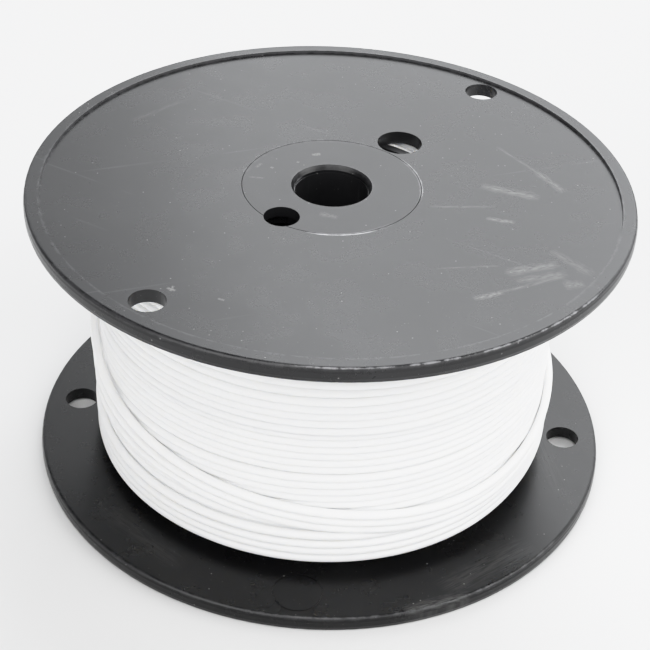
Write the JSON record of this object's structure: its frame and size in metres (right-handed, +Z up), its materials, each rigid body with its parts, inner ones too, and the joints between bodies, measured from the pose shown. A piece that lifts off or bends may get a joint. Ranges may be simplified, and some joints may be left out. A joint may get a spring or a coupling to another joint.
{
  "type": "wire spool",
  "caption": "Wire spool: two flanges on a drum with a hub and arbor hole, wound full with insulated wire.",
  "frame": {"origin": "on the arbor axis at the lower flange's outer rim face, centre of the box's bottom", "axes": "+Z up along the arbor axis, from the lower flange to the upper one; -Y towards the viewer"},
  "size_m": [0.165, 0.165, 0.0866],
  "materials": {
    "black_moulding": "satin moulded polystyrene, scuffed on the rims",
    "hub_moulding": "satin moulded polystyrene",
    "drum_moulding": "plain moulded polystyrene, hidden under the wire",
    "white_insulation": "smooth satin PVC",
    "copper": "bright stranded copper, cut square"
  },
  "bodies": {
    "root": {"upper_flange": "black_moulding", "lower_flange": "black_moulding", "drum": "drum_moulding", "upper_hub": "hub_moulding", "lower_hub": "hub_moulding", "arbor_tube": "hub_moulding", "winding": "white_insulation", "tail_insulation": "white_insulation", "tail_conductor": "copper"}
  },
  "joints": []
}
